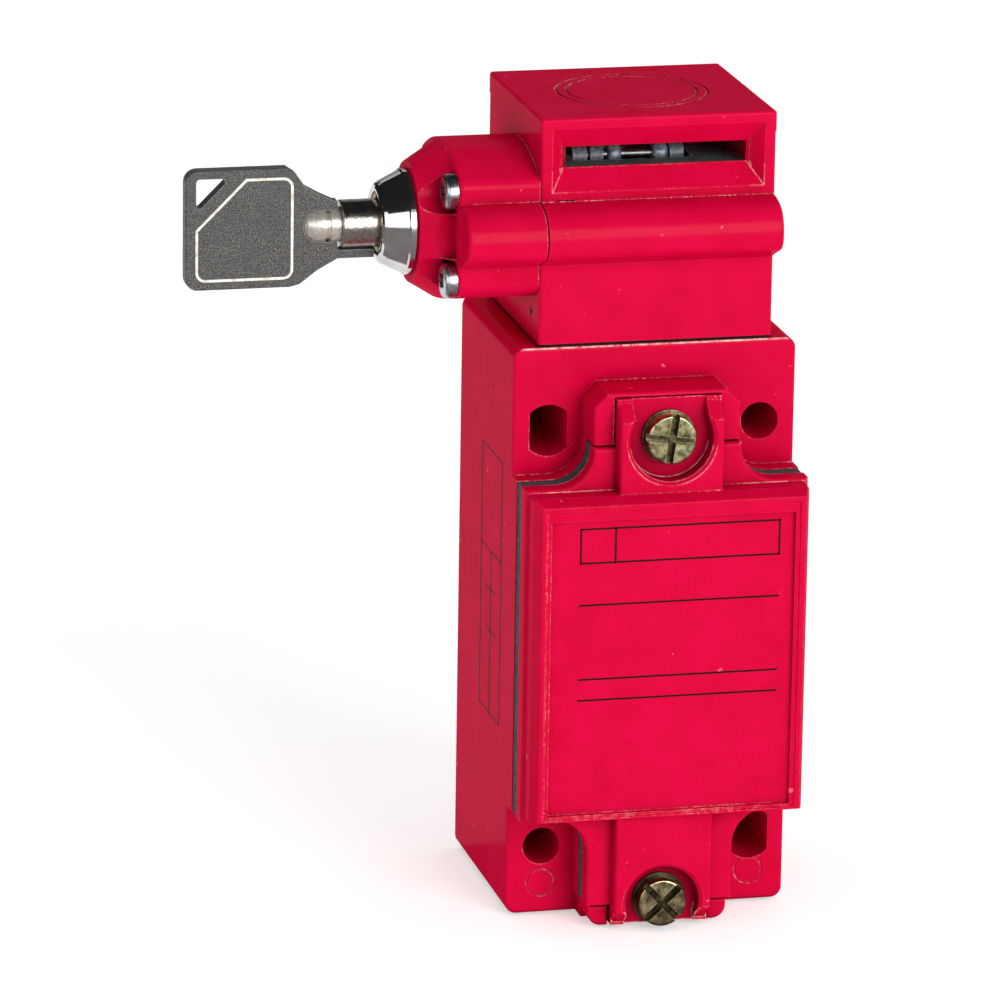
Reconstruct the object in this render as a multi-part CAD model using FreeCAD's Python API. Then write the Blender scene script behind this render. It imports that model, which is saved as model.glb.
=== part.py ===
import FreeCAD, Part
import math
import os

V = FreeCAD.Vector

# ---------------------------------------------------------------------------
# Key-lock tongue interlock switch, die-cast body with a turret head.
# Frame: X to the right, Y to the back, Z up, millimetres. The origin is the
# centre of the four fixing holes, on the rear mounting face (Y = 0).
# ---------------------------------------------------------------------------

# case
CASE_HW = 20.0            # half width of the case
CASE_D = 31.5             # depth of the case, rear face to front face
CASE_ZB = -39.8           # bottom of the case
CASE_ZT = 41.7            # top of the case
WALL = 3.0
FIX_X, FIX_Z = 15.0, 30.0  # half pitches of the 30 x 60 fixing holes
FIX_R = 2.65              # fixing hole, 5.3 mm
FIX_SLOT_R = 3.65         # long half axis of the elongated holes, 7.3 mm
FLANGE_H = 2.8            # raised flange that carries the gasket
FR_HW, FR_HZ = 17.0, 22.9  # half sizes of the case's inside
ARM_HW = 10.4             # half width of the cover's arms
PANEL_HZ = 23.8           # half height of the cover's wide middle
ARM_R = 5.0               # fillet round each fixing hole
SHOULDER_ZT, SHOULDER_ZB = 29.3, -36.6
TAB_HW_T, TAB_HW_B = 7.3, 6.85
TAB_ZT, TAB_ZB = 36.05, -39.5
BOSS_HW, BOSS_ZT, BOSS_H = 10.3, 36.75, 7.2
TAB_GAP = 0.22            # seam between the cover's tabs and the case
ENTRY_R = 9.25            # cable entry, tapping size of an M20 x 1.5 thread
ENTRY_Y = -15.75
ENTRY_TOP = -31.0

# cover, heights measured forward from the case's front face
GASKET_H = 2.6
COVER_P0 = FLANGE_H + GASKET_H + 0.05
RIM_P = 8.1
COVER_P = 12.5
TAB_P = 10.4
SEAT_P = 7.5              # seat of the cover screws
SCREW_ZT, SCREW_ZB = 30.6, -36.0
CBORE_T, CBORE_B = 5.9, 5.3

# head
HEAD_HW = 16.5
HEAD_YF = -31.2           # front face of the head
HEAD_Z0 = 42.1
HEAD_ZT = 73.7
TOP_T = 2.9               # top plate of the head cover
FRONT_T = 1.8             # front plate of the head cover
SPLIT_Z = 62.15           # lower edge of the head cover's front plate
SLOT_HW, SLOT_Z0, SLOT_Z1 = 12.9, 66.3, 69.2
FUN_HW, FUN_Z0, FUN_Z1, FUN_D = 15.1, 63.1, 72.4, 2.4
HEAD_FLOOR = 47.0
CAV_X0, CAV_X1, CAV_Y0, CAV_Y1 = -12.0, 13.5, -27.0, -3.6

# wheel and plunger
WH_Y, WH_Z = -16.0, 58.0
WH_TURN = math.radians(50.0)
LIFT = 3.0                # plunger travel
PL_Y = -16.0
PL_R = 2.5
CAM_R0 = 9.0
CAM_GAP = 0.15

# lock
LK_Y, LK_Z = -18.7, 57.2
LK_X0, LK_X1 = -27.8, -16.5
BOLT_TRAVEL = 3.0
LK_TURN = math.pi / 2.0
SCR_DY, SCR_DZ = 9.5, 6.2
ROD_Y, ROD_Z, ROD_R = -32.0, 57.9, 2.2
PIN_R = 1.6
PIN_RAD = 6.2             # distance of the lock pin from the wheel's axis

# contact block
POLES = (-10.5, 0.0, 10.5)
TOWER_Z0, TOWER_Z1 = 13.0, 22.0
TOWER_Y = -25.0


# ---------------------------------------------------------------------------
# helpers
# ---------------------------------------------------------------------------
def box(x0, x1, y0, y1, z0, z1):
    return Part.makeBox(x1 - x0, y1 - y0, z1 - z0, V(x0, y0, z0))


def cylx(r, x0, x1, y, z):
    return Part.makeCylinder(r, x1 - x0, V(x0, y, z), V(1, 0, 0))


def cyly(r, y0, y1, x, z):
    return Part.makeCylinder(r, y1 - y0, V(x, y0, z), V(0, 1, 0))


def cylz(r, z0, z1, x, y):
    return Part.makeCylinder(r, z1 - z0, V(x, y, z0), V(0, 0, 1))


def fuse(shapes):
    s = shapes[0]
    if len(shapes) > 1:
        s = s.multiFuse(shapes[1:])
    return s.removeSplitter()


def prism(points, direction):
    """Extrude a closed polygon of vectors along a vector."""
    w = Part.makePolygon([V(*p) for p in points] + [V(*points[0])])
    return Part.Face(w).extrude(V(*direction))


def pick(shape, test):
    return [e for e in shape.Edges if test(e)]


def fillet(shape, r, test):
    edges = pick(shape, test)
    if not edges:
        return shape
    try:
        out = shape.makeFillet(r, edges)
        if out.isValid() and out.Volume > 0:
            return out
    except Exception:
        pass
    for e in edges:
        try:
            out = shape.makeFillet(r, [x for x in shape.Edges if same(x, e)])
            if out.isValid() and out.Volume > 0:
                shape = out
        except Exception:
            pass
    return shape


def same(a, b):
    return (a.CenterOfMass - b.CenterOfMass).Length < 1e-4 and abs(a.Length - b.Length) < 1e-3


def along(e, axis, tol=1e-4):
    """True if the edge is straight and runs along 'x', 'y' or 'z'."""
    if len(e.Vertexes) != 2 or "Line" not in str(e.Curve):
        return False
    d = e.Vertexes[1].Point - e.Vertexes[0].Point
    d = (abs(d.x), abs(d.y), abs(d.z))
    i = "xyz".index(axis)
    return d[i] > tol and sum(d) - d[i] < tol


def at(e, **kw):
    c = e.CenterOfMass
    return all(abs(getattr(c, k) - v) < 0.02 for k, v in kw.items())


def front(p):
    """Y of a plane p millimetres in front of the case's front face."""
    return -CASE_D - p


def corner_fill(x, z, sx, sz, r, y0, y1):
    """Concave fillet in a corner, as a prism along Y."""
    b = box(min(x, x + sx * r), max(x, x + sx * r), y0, y1, min(z, z + sz * r), max(z, z + sz * r))
    return b.cut(cyly(r, y0 - 1, y1 + 1, x + sx * r, z + sz * r))


def outline(p0, p1, grow=0.0, tabs=True):
    """The cover's outline, between two heights in front of the case."""
    y0, y1 = front(p1), front(p0)
    g = grow
    parts = [box(-CASE_HW - g, CASE_HW + g, y0, y1, -PANEL_HZ - g, PANEL_HZ + g),
             box(-ARM_HW - g, ARM_HW + g, y0, y1, SHOULDER_ZB - g, (SHOULDER_ZT + g) if tabs else SHOULDER_ZT)]
    if tabs:
        parts.append(box(-TAB_HW_T - g, TAB_HW_T + g, y0, y1, 20, TAB_ZT + g))
        parts.append(box(-TAB_HW_B - g, TAB_HW_B + g, y0, y1, TAB_ZB - g, -20))
    r = ARM_R - g
    for sx in (-1, 1):
        for sz in (-1, 1):
            parts.append(corner_fill(sx * (ARM_HW + g), sz * (PANEL_HZ + g), sx, sz, r, y0, y1))
    return fuse(parts)


def slotted_hole(x, z, y0, y1):
    """Elongated fixing hole: a wide circle cut by two flats."""
    return cyly(FIX_SLOT_R, y0, y1, x, z).common(
        box(x - FIX_R, x + FIX_R, y0, y1, z - 5, z + 5))


def pan_screw_y(x, z, y_seat, head_r, head_h, shank_r, shank_l, slots, dome=0.35):
    """Screw along Y: the head stands in front of y_seat, the shank goes back."""
    head = cyly(head_r, y_seat - head_h, y_seat, x, z)
    head = fillet(head, dome, lambda e: at(e, y=y_seat - head_h))
    s = head.fuse(cyly(shank_r, y_seat, y_seat + shank_l, x, z)).removeSplitter()
    for a, w, d in slots:
        c = box(-head_r - 1, head_r + 1, y_seat - head_h - 1, y_seat - head_h + d, -w / 2, w / 2)
        c.rotate(V(0, 0, 0), V(0, 1, 0), a)
        c.translate(V(x, 0, z))
        s = s.cut(c)
    return s


def coil(r, wire, z0, z1, pitch, x, y):
    """Round-wire compression spring along Z."""
    h = z1 - z0 - 2 * wire
    helix = Part.makeHelix(pitch, h, r)
    prof = Part.Wire([Part.Circle(V(r, 0, 0), V(0, 1, 0), wire).toShape()])
    s = Part.Wire(helix).makePipeShell([prof], True, True)
    s.translate(V(x, y, z0 + wire))
    return s


def ring_x(ro, ri, x0, x1, y, z):
    return cylx(ro, x0, x1, y, z).cut(cylx(ri, x0 - 1, x1 + 1, y, z))


nodes = {}

# ---------------------------------------------------------------------------
# case
# ---------------------------------------------------------------------------
yf = front(0.0)
case = box(-CASE_HW, CASE_HW, yf, 0, CASE_ZB, CASE_ZT)
case = fillet(case, 1.6, lambda e: along(e, "y"))
case = fillet(case, 0.5, lambda e: at(e, y=yf) or (abs(e.CenterOfMass.y - yf) < 0.02))
flange = outline(-1.0, FLANGE_H, tabs=False)
web = box(-BOSS_HW, BOSS_HW, front(FLANGE_H), front(-1), 20, BOSS_ZT)
flange = flange.fuse(web.makeChamfer(1.9, pick(web, lambda e: along(e, "y") and abs(e.CenterOfMass.z - BOSS_ZT) < 0.01)))
flange = flange.fuse(box(-ARM_HW + 0.5, ARM_HW - 0.5, front(FLANGE_H), front(-1), CASE_ZB, -20))
boss = box(-BOSS_HW, BOSS_HW, front(BOSS_H), front(-1), SHOULDER_ZT + TAB_GAP, BOSS_ZT)
boss = boss.makeChamfer(1.9, pick(boss, lambda e: along(e, "y") and abs(e.CenterOfMass.z - BOSS_ZT) < 0.01))
boss = fillet(boss, 0.45, lambda e: abs(e.CenterOfMass.y - front(BOSS_H)) < 0.01 and e.CenterOfMass.z > SHOULDER_ZT + 1)
boss = boss.cut(box(-TAB_HW_T - TAB_GAP, TAB_HW_T + TAB_GAP, front(BOSS_H + 1), front(FLANGE_H), 28, TAB_ZT + 0.15))
lugs = []
for s in (-1, 1):
    xa, xb = sorted((s * (TAB_HW_B + TAB_GAP), s * 9.9))
    lug = box(xa, xb, front(BOSS_H), front(-1), CASE_ZB, SHOULDER_ZB - TAB_GAP)
    lug = fillet(lug, 1.9, lambda e: along(e, "y") and abs(e.CenterOfMass.x - s * 9.9) < 0.01 and e.CenterOfMass.z < -39)
    lug = fillet(lug, 0.45, lambda e: abs(e.CenterOfMass.y - front(BOSS_H)) < 0.01)
    lugs.append(lug)
case = fuse([case, flange, boss] + lugs)

# inside
case = case.cut(fillet(box(-FR_HW, FR_HW, front(20), -WALL, -FR_HZ, FR_HZ), 2.5,
                       lambda e: along(e, "y")))
case = case.cut(fillet(box(-9.6, 9.6, -26.0, -WALL, 20, 37.0), 1.5, lambda e: along(e, "y") and e.CenterOfMass.z > 30))
case = case.cut(box(-9.6, 9.6, -26.0, -WALL, ENTRY_TOP, -20))
case = case.cut(cylz(ENTRY_R, CASE_ZB - 1, ENTRY_TOP + 1, 0, ENTRY_Y))
case = case.cut(Part.makeCone(ENTRY_R + 0.9, ENTRY_R - 0.1, 1.0, V(0, ENTRY_Y, CASE_ZB), V(0, 0, 1)))

# fixing holes
for sx, sz in ((1, 1), (-1, -1)):
    case = case.cut(cyly(FIX_R, -CASE_D - 6, 1, sx * FIX_X, sz * FIX_Z))
for sx, sz in ((-1, 1), (1, -1)):
    case = case.cut(slotted_hole(sx * FIX_X, sz * FIX_Z, -CASE_D - 6, 1))
# marks of the ejector pins
for sx in (-1, 1):
    case = case.cut(cyly(2.1, yf - 1, yf + 0.12, sx * 15.0, -35.3).cut(
        cyly(1.85, yf - 2, yf + 1, sx * 15.0, -35.3)))

# tapped holes for the cover screws, plunger passage, head screws, block screws, earth screw
for z in (SCREW_ZT, SCREW_ZB):
    case = case.cut(cyly(2.02, front(FLANGE_H) - 1, -26.6, 0, z))
case = case.cut(cylz(2.65, 30, 45, 0, PL_Y))
case = case.cut(cylz(4.3, 38.6, 45, 0, PL_Y))
HS = [(sx * 9.6, y) for sx in (-1, 1) for y in (-6.0, -25.2)]
for x, y in HS:
    case = case.cut(cylz(1.52, 37.2 if y < -20 else 37.4, 45, x, y))
BLK = ((5.25, 17.8), (-5.25, -17.8))
for x, z in BLK:
    case = case.cut(cyly(1.32, -5, -0.8, x, z))
EARTH = (-6.0, -27.0)
case = case.cut(cyly(1.77, -5, -0.7, *EARTH))
nodes["case"] = case

# ---------------------------------------------------------------------------
# cover gasket and cover
# ---------------------------------------------------------------------------
g = outline(FLANGE_H, FLANGE_H + GASKET_H, grow=-0.15)
g = g.cut(fillet(box(-FR_HW + 0.3, FR_HW - 0.3, front(20), 0, -FR_HZ + 0.3, FR_HZ - 0.3), 2.5, lambda e: along(e, "y")))
for z in (SCREW_ZT, SCREW_ZB):
    g = g.cut(cyly(2.3, front(20), 0, 0, z))
nodes["cover_gasket"] = g

rim = outline(COVER_P0, RIM_P)
rim = fillet(rim, 0.5, lambda e: abs(e.CenterOfMass.y - front(RIM_P)) < 0.01 and abs(e.CenterOfMass.x) > 7.5)


def frustum(x0, z0, z0b, pa, x1, z1, z1b, pb):
    """Rectangular frustum between two heights in front of the case."""
    def rect(x, zt, zb, p):
        y = front(p)
        return Part.makePolygon([V(-x, y, zb), V(x, y, zb), V(x, y, zt), V(-x, y, zt), V(-x, y, zb)])
    return Part.makeLoft([rect(x0, z0, z0b, pa), rect(x1, z1, z1b, pb)], True, True)


wall = frustum(19.6, 23.4, -23.3, RIM_P - 0.5, 19.45, 23.25, -23.15, 10.5)
bevel = frustum(19.45, 23.25, -23.15, 10.5, 18.6, 22.4, -22.6, COVER_P)
panel = fuse([wall, bevel])
panel = fillet(panel, 0.45, lambda e: not along(e, "x") and not along(e, "z") and abs(e.CenterOfMass.x) > 18)
# upper and lower tab, each with a ramp at its end
tt = prism([(-TAB_HW_T, front(COVER_P0), 18), (-TAB_HW_T, front(COVER_P0), TAB_ZT),
            (-TAB_HW_T, front(7.6), TAB_ZT), (-TAB_HW_T, front(TAB_P), 33.3),
            (-TAB_HW_T, front(TAB_P), 18)], (2 * TAB_HW_T, 0, 0))
tb = prism([(-TAB_HW_B, front(COVER_P0), -18), (-TAB_HW_B, front(COVER_P0), TAB_ZB),
            (-TAB_HW_B, front(7.6), TAB_ZB), (-TAB_HW_B, front(TAB_P), -36.9),
            (-TAB_HW_B, front(TAB_P), -18)], (2 * TAB_HW_B, 0, 0))
tt = fillet(tt, 0.5, lambda e: abs(abs(e.CenterOfMass.x) - TAB_HW_T) < 0.01 and e.CenterOfMass.y < front(8.0))
tb = fillet(tb, 0.5, lambda e: abs(abs(e.CenterOfMass.x) - TAB_HW_B) < 0.01 and e.CenterOfMass.y < front(8.0))
cover = fuse([rim, panel, tt, tb])
# nested lands and the recessed label field
cover = cover.cut(frustum(17.95, 21.75, -22.3, COVER_P + 0.01, 17.75, 21.5, -22.15, COVER_P - 0.3))
cover = cover.cut(frustum(17.3, 20.3, -21.9, COVER_P + 0.5, 17.15, 20.15, -21.75, COVER_P - 0.95))
# screw channels and counterbores
cover = cover.cut(box(-5.2, 5.2, front(20), front(SEAT_P), SCREW_ZT, 40))
cover = cover.cut(cyly(CBORE_T, front(20), front(SEAT_P), 0, SCREW_ZT))
cover = cover.cut(box(-4.95, 4.95, front(20), front(SEAT_P), -45, SCREW_ZB))
cover = cover.cut(cyly(CBORE_B, front(20), front(SEAT_P), 0, SCREW_ZB))
for z, r in ((SCREW_ZT, CBORE_T), (SCREW_ZB, CBORE_B)):
    cover = cover.cut(cyly(2.2, front(20), 0, 0, z))
    cover = cover.cut(Part.makeCone(r + 0.55, r - 0.05, 0.6, V(0, front(TAB_P + 0.05), z), V(0, 1, 0)))
# hollow behind the panel
cover = cover.cut(fillet(box(-16.4, 16.4, front(9.6), front(0), -21.4, 21.4), 2.0, lambda e: along(e, "y")))
cover = fillet(cover, 0.25, lambda e: abs(e.CenterOfMass.y - front(COVER_P)) < 0.005 and e.Length > 20
               and (abs(abs(e.CenterOfMass.x) - 18.6) < 0.05 or abs(e.CenterOfMass.z - 22.4) < 0.05 or abs(e.CenterOfMass.z + 22.6) < 0.05))
nodes["cover"] = cover

nodes["cover_screws"] = Part.makeCompound([
    pan_screw_y(0, SCREW_ZT, front(SEAT_P + 0.5), 3.5, 2.2, 2.0, 12.6, [(98, 1.1, 1.1), (8, 1.0, 1.0)]),
    pan_screw_y(0, SCREW_ZB, front(SEAT_P + 0.5), 3.4, 2.2, 2.0, 12.6, [(-43, 1.1, 1.1), (47, 1.0, 0.9)])])
nodes["cover_screw_washers"] = Part.makeCompound([
    cyly(3.75, front(SEAT_P + 0.5), front(SEAT_P), 0, z).cut(cyly(2.05, front(20), 0, 0, z))
    for z in (SCREW_ZT, SCREW_ZB)])

# ---------------------------------------------------------------------------
# head gasket, head body, head cover
# ---------------------------------------------------------------------------
hg = box(-HEAD_HW + 0.15, HEAD_HW - 0.15, HEAD_YF + 0.15, -0.15, CASE_ZT, HEAD_Z0)
hg = hg.cut(cylz(4.0, 40, 45, 0, PL_Y))
for x, y in HS:
    hg = hg.cut(cylz(1.7, 40, 45, x, y))
nodes["head_gasket"] = hg


def hb(f, b):
    """A point of the head's side profile: f forward of its front, b below its top."""
    return (HEAD_YF - f, HEAD_ZT - b)


def ridge(x0, x1):
    """The rounded channel across the front of the head, between two X values."""
    pts = [(0.0, 11.6), (2.6, 12.05), (4.2, 12.9), (5.15, 14.2), (5.55, 15.8), (5.4, 17.3), (4.6, 18.5)]
    vs = [V(x0, *hb(f, b)) for f, b in pts]
    bs = Part.BSplineCurve()
    bs.interpolate(vs)
    low = V(x0, *hb(0.0, 20.5))
    back_l = V(x0, *hb(-0.8, 20.5))
    back_u = V(x0, *hb(-0.8, 11.6))
    w = Part.Wire([bs.toShape(), Part.makeLine(vs[-1], low), Part.makeLine(low, back_l),
                   Part.makeLine(back_l, back_u), Part.makeLine(back_u, vs[0])])
    return Part.Face(w).extrude(V(x1 - x0, 0, 0))


head = box(-HEAD_HW, HEAD_HW, HEAD_YF, 0, HEAD_Z0, HEAD_ZT - TOP_T)
head = fillet(head, 0.5, lambda e: along(e, "z"))
head = head.cut(box(-20, 20, HEAD_YF - 1, HEAD_YF + FRONT_T, SPLIT_Z, HEAD_ZT))
rdg = ridge(-HEAD_HW, HEAD_HW)
rdg = fillet(rdg, 0.45, lambda e: abs(e.CenterOfMass.x - HEAD_HW) < 0.01 and e.CenterOfMass.y < HEAD_YF - 0.5)
rdg = rdg.cut(box(-20, 20, HEAD_YF - 0.5, HEAD_YF + 2, SPLIT_Z - 0.12, HEAD_ZT))
head = fuse([head, rdg])
head = head.cut(fillet(box(CAV_X0, CAV_X1, CAV_Y0, CAV_Y1, HEAD_FLOOR, HEAD_ZT), 1.5, lambda e: along(e, "z")))
# window behind the head cover's front plate
head = head.cut(box(-13.5, 13.5, HEAD_YF, CAV_Y0 + 1, 62.4, HEAD_ZT))
# guide rod bore, yoke pocket, lock pin bore
head = head.cut(cylx(ROD_R + 0.15, -20, 13.6, ROD_Y, ROD_Z))
YK = (-34.35, -20.35, 55.2, 60.6)
head = head.cut(box(-20, -14.5, *YK))
head = head.cut(cylx(PIN_R + 0.15, -20, CAV_X0 + 1, WH_Y - PIN_RAD, WH_Z))
# plunger passage and head screws
head = head.cut(cylz(PL_R + 0.1, 40, HEAD_FLOOR + 1, 0, PL_Y))
for x, y in HS:
    head = head.cut(cylz(1.65, 40, HEAD_FLOOR + 1, x, y))
    head = head.cut(cylz(2.85, 44.6, HEAD_FLOOR + 1, x, y))
# lock housing screws
LS = [(LK_Y + dy, LK_Z + sz * dz) for dy, dz in ((-SCR_DY, SCR_DZ), (SCR_DY + 0.2, SCR_DZ - 1.7)) for sz in (-1, 1)]
for y, z in LS:
    head = head.cut(cylx(1.52, -20, -13.4, y, z))
# axle seats: blind holes in both side walls
head = head.cut(cylx(1.55, -15.5, 15.2, WH_Y, WH_Z))
# screws of the head cover come in from the rear
HCS = ((-9.5, 67.9), (9.5, 67.9))
for x, z in HCS:
    head = head.cut(cyly(1.4, -5, 1, x, z))
    head = head.cut(Part.makeCone(1.4, 2.75, 1.35, V(x, -1.35, z), V(0, 1, 0)))
head = head.cut(cylx(0.82, -20, -13.6, -26.6, 45.75))
nodes["head_body"] = head

hc = box(-HEAD_HW - 0.1, HEAD_HW + 0.1, HEAD_YF - 0.05, 0.0, HEAD_ZT - TOP_T, HEAD_ZT)
hc = fillet(hc, 0.5, lambda e: along(e, "z"))
hc = fillet(hc, 0.45, lambda e: abs(e.CenterOfMass.z - HEAD_ZT) < 0.01)
fp = box(-HEAD_HW, HEAD_HW, HEAD_YF, HEAD_YF + FRONT_T, SPLIT_Z, HEAD_ZT - TOP_T)
fp = fillet(fp, 0.45, lambda e: along(e, "z") and abs(e.CenterOfMass.y - HEAD_YF) < 0.01)
rib = box(-13.35, 13.35, HEAD_YF + FRONT_T, HEAD_YF + 2.8, 62.55, HEAD_ZT - TOP_T)
hlug = [fillet(box(x - 2.35, x + 2.65, -9.0, -3.75, 65.4, HEAD_ZT - TOP_T), 1.7, lambda e: along(e, "z")) for x, z in HCS]
hc = fuse([hc, fp, rib] + hlug)
y0, y1 = HEAD_YF - 0.2, HEAD_YF + FUN_D


def rect_y(x, z0, z1, y):
    return Part.makePolygon([V(-x, y, z0), V(x, y, z0), V(x, y, z1), V(-x, y, z1), V(-x, y, z0)])


hc = hc.cut(Part.makeLoft([rect_y(FUN_HW, FUN_Z0, FUN_Z1, y0), rect_y(SLOT_HW, SLOT_Z0, SLOT_Z1, y1)], True, True))
hc = hc.cut(box(-SLOT_HW, SLOT_HW, HEAD_YF + 1, HEAD_YF + 4, SLOT_Z0, SLOT_Z1))
hc = hc.cut(box(-14.35, -11.6, HEAD_YF - 1, HEAD_YF + 0.5, SPLIT_Z - 1, SPLIT_Z + 0.16))
for x, z in HCS:
    hc = hc.cut(cyly(1.22, -8.2, 0.5, x, z))
# room for the tip of the lock housing's upper front screw
hc = hc.cut(cylx(1.7, -20, -13.0, LK_Y - SCR_DY, LK_Z + SCR_DZ))
# raised double ring on top, left plain inside
cx, cy = 0.0, -15.6
for ro, ri in ((10.7, 10.3), (9.2, 8.9)):
    hc = hc.cut(cylz(ro, HEAD_ZT - 0.22, HEAD_ZT + 1, cx, cy).cut(cylz(ri, HEAD_ZT - 1, HEAD_ZT + 2, cx, cy)))
nodes["head_cover"] = hc.removeSplitter()

# screws
hs = []
for x, y in HS:
    s = cylz(2.6, 44.6, 46.9, x, y).fuse(cylz(1.5, 37.6, 44.7, x, y)).removeSplitter()
    hexagon = prism([(x + 1.45 * math.cos(math.radians(a)), y + 1.45 * math.sin(math.radians(a)), 45.4)
                     for a in range(0, 360, 60)], (0, 0, 3))
    hs.append(s.cut(hexagon))
nodes["head_fixing_screws"] = Part.makeCompound(hs)
hcs = []
for x, z in HCS:
    s = Part.makeCone(1.2, 2.6, 1.3, V(x, -1.4, z), V(0, 1, 0)).fuse(cyly(1.2, -8.0, -1.3, x, z)).removeSplitter()
    hcs.append(s.cut(box(x - 3, x + 3, -0.75, 1, z - 0.35, z + 0.35)))
nodes["head_cover_screws"] = Part.makeCompound(hcs)
nodes["head_pin"] = cylx(0.78, HEAD_HW * -1 + 0.1, -13.7, -26.6, 45.75).cut(cylx(0.35, -17, -15.5, -26.6, 45.75))

# ---------------------------------------------------------------------------
# wheel, axle, guides
# ---------------------------------------------------------------------------
def wpt(r, a):
    """Point in the wheel's plane; the angle runs from +Y towards +Z."""
    return (WH_Y + r * math.cos(a), WH_Z + r * math.sin(a))


def star(x0, x1, r_out, r_in, tooth_angles, half):
    """Disc with rounded driver teeth, as one prism."""
    pts = []
    for k in range(240):
        th = 2 * math.pi * k / 240
        r = r_in
        for a in tooth_angles:
            d = (th - a + math.pi) % (2 * math.pi) - math.pi
            c = r_out - half
            q = half * half - (c * math.sin(d)) ** 2
            if abs(d) < 1.0 and q > 0:
                r = max(r, c * math.cos(d) + math.sqrt(q))
        y, z = wpt(r, th)
        pts.append((x0, y, z))
    return prism(pts, (x1 - x0, 0, 0))


# cam: every follower position keeps the same small gap to the flank
RT = PL_R
rate = LIFT / WH_TURN
path = []
N = 40
for i in range(-6, N + 7):
    phi = WH_TURN * i / N
    lift = min(max(rate * phi, 0.0), LIFT)
    d = CAM_R0 + CAM_GAP + RT - lift
    a = -math.pi / 2 - (-phi)
    path.append((d * math.cos(a), d * math.sin(a)))
pts = []
for i in range(1, len(path) - 1):
    tx, tz = path[i + 1][0] - path[i - 1][0], path[i + 1][1] - path[i - 1][1]
    n = math.hypot(tx, tz)
    nx, nz = -tz / n, tx / n
    if nx * path[i][0] + nz * path[i][1] > 0:
        nx, nz = -nx, -nz
    pts.append((path[i][0] + nx * (RT + CAM_GAP), path[i][1] + nz * (RT + CAM_GAP)))
X0, X1 = -2.4, 1.4
# keep the flank's points in order round the wheel, so the outline never crosses itself
mono = []
for p in pts:
    a = math.atan2(p[1], p[0])
    if a > 0.5:
        a -= 2 * math.pi
    if not mono or a > mono[-1][0] + 0.004:
        mono.append((a, p))
flank = [(X0, WH_Y + p[0], WH_Z + p[1]) for a, p in mono]
cam = prism([(X0, WH_Y, WH_Z)] + flank, (X1 - X0, 0, 0))
hub = cylx(4.3, -10.3, 10.3, WH_Y, WH_Z)
up = math.pi / 2
TEETH = (22, -38, 150)
left_disc = cylx(8.4, -9.5, -7.5, WH_Y, WH_Z)
teeth_a = star(-9.5, -7.5, 9.9, 6.0, [up + math.radians(a) for a in TEETH], 1.7)
teeth_l = star(-7.0, -5.2, 9.9, 6.6, [up + math.radians(a) for a in TEETH], 1.7)
teeth_r = star(4.3, 6.2, 9.9, 6.6, [up + math.radians(a) for a in TEETH], 1.7)
wheel = hub.multiFuse([left_disc, teeth_a, teeth_l, teeth_r, cam])
for a in (math.pi, math.pi + WH_TURN):
    y, z = wpt(PIN_RAD, a)
    wheel = wheel.cut(cylx(PIN_R + 0.2, -12, -7.25, y, z))
wheel = wheel.cut(cylx(2.1, -11, 11, WH_Y, WH_Z))
# driver pins pass through the teeth and carry short rollers
DP = [wpt(8.3, up + math.radians(a)) for a in (22, -38)]
for y, z in DP:
    wheel = wheel.cut(cylx(0.72, -12, 12, y, z))
nodes["cam_wheel"] = wheel
nodes["driver_pins"] = Part.makeCompound([cylx(0.7, -9.6, 6.3, y, z) for y, z in DP])
nodes["driver_rollers"] = Part.makeCompound([
    fillet(cylx(1.55, xa, xb, y, z), 0.6, lambda e: "Circle" in str(e.Curve)).cut(cylx(0.76, xa - 1, xb + 1, y, z))
    for y, z in DP for xa, xb in ((-4.4, -2.5), (1.9, 4.1))])
nodes["wheel_bushes"] = Part.makeCompound([
    ring_x(2.05, 1.58, -10.25, -6.0, WH_Y, WH_Z), ring_x(2.05, 1.58, 6.0, 10.25, WH_Y, WH_Z)])
nodes["cam_wheel_axle"] = cylx(1.5, -15.4, 15.1, WH_Y, WH_Z)
nodes["wheel_spacers"] = Part.makeCompound([
    ring_x(3.0, 1.6, CAV_X0 + 0.0, -10.45, WH_Y, WH_Z), ring_x(3.0, 1.6, 10.45, CAV_X1, WH_Y, WH_Z)])

# sheet-metal guide under the tongue, U-shaped round the wheel's teeth
gp = box(-11.9, 13.3, -26.9, -9.2, 65.1, 65.9)
gp = gp.cut(fillet(box(-10.0, 6.8, -23.5, -8.0, 64, 67), 1.2, lambda e: along(e, "z") and e.CenterOfMass.y < -20))
gp = gp.fuse(box(-11.9, -11.1, -26.0, -9.2, 62.0, 65.9)).fuse(box(12.5, 13.3, -26.0, -9.2, 62.0, 65.9)).removeSplitter()
nodes["guide_plate"] = gp
# ---------------------------------------------------------------------------
# lock housing
# ---------------------------------------------------------------------------
def arc3(a, b, c):
    return Part.Arc(a, b, c).toShape()


D0, D1, DM = 0.25, 24.7, 12.5


def lp(x, d, b):
    return V(x, HEAD_YF + d, HEAD_ZT - b)


def lock_prism(x0, x1):
    w = Part.Wire([
        arc3(lp(x0, D0, 8.75), lp(x0, DM, 5.3), lp(x0, D1, 8.75)),
        Part.makeLine(lp(x0, D1, 8.75), lp(x0, D1, 24.0)),
        arc3(lp(x0, D1, 24.0), lp(x0, DM, 26.9), lp(x0, D0, 24.0)),
        Part.makeLine(lp(x0, D0, 24.0), lp(x0, D0, 8.75))])
    p = Part.Face(w).extrude(V(x1 - x0, 0, 0))
    p = fillet(p, 1.6, lambda e: along(e, "x") and e.CenterOfMass.z > 60)
    p = fillet(p, 2.2, lambda e: along(e, "x") and e.CenterOfMass.z < 55)
    return p


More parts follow.
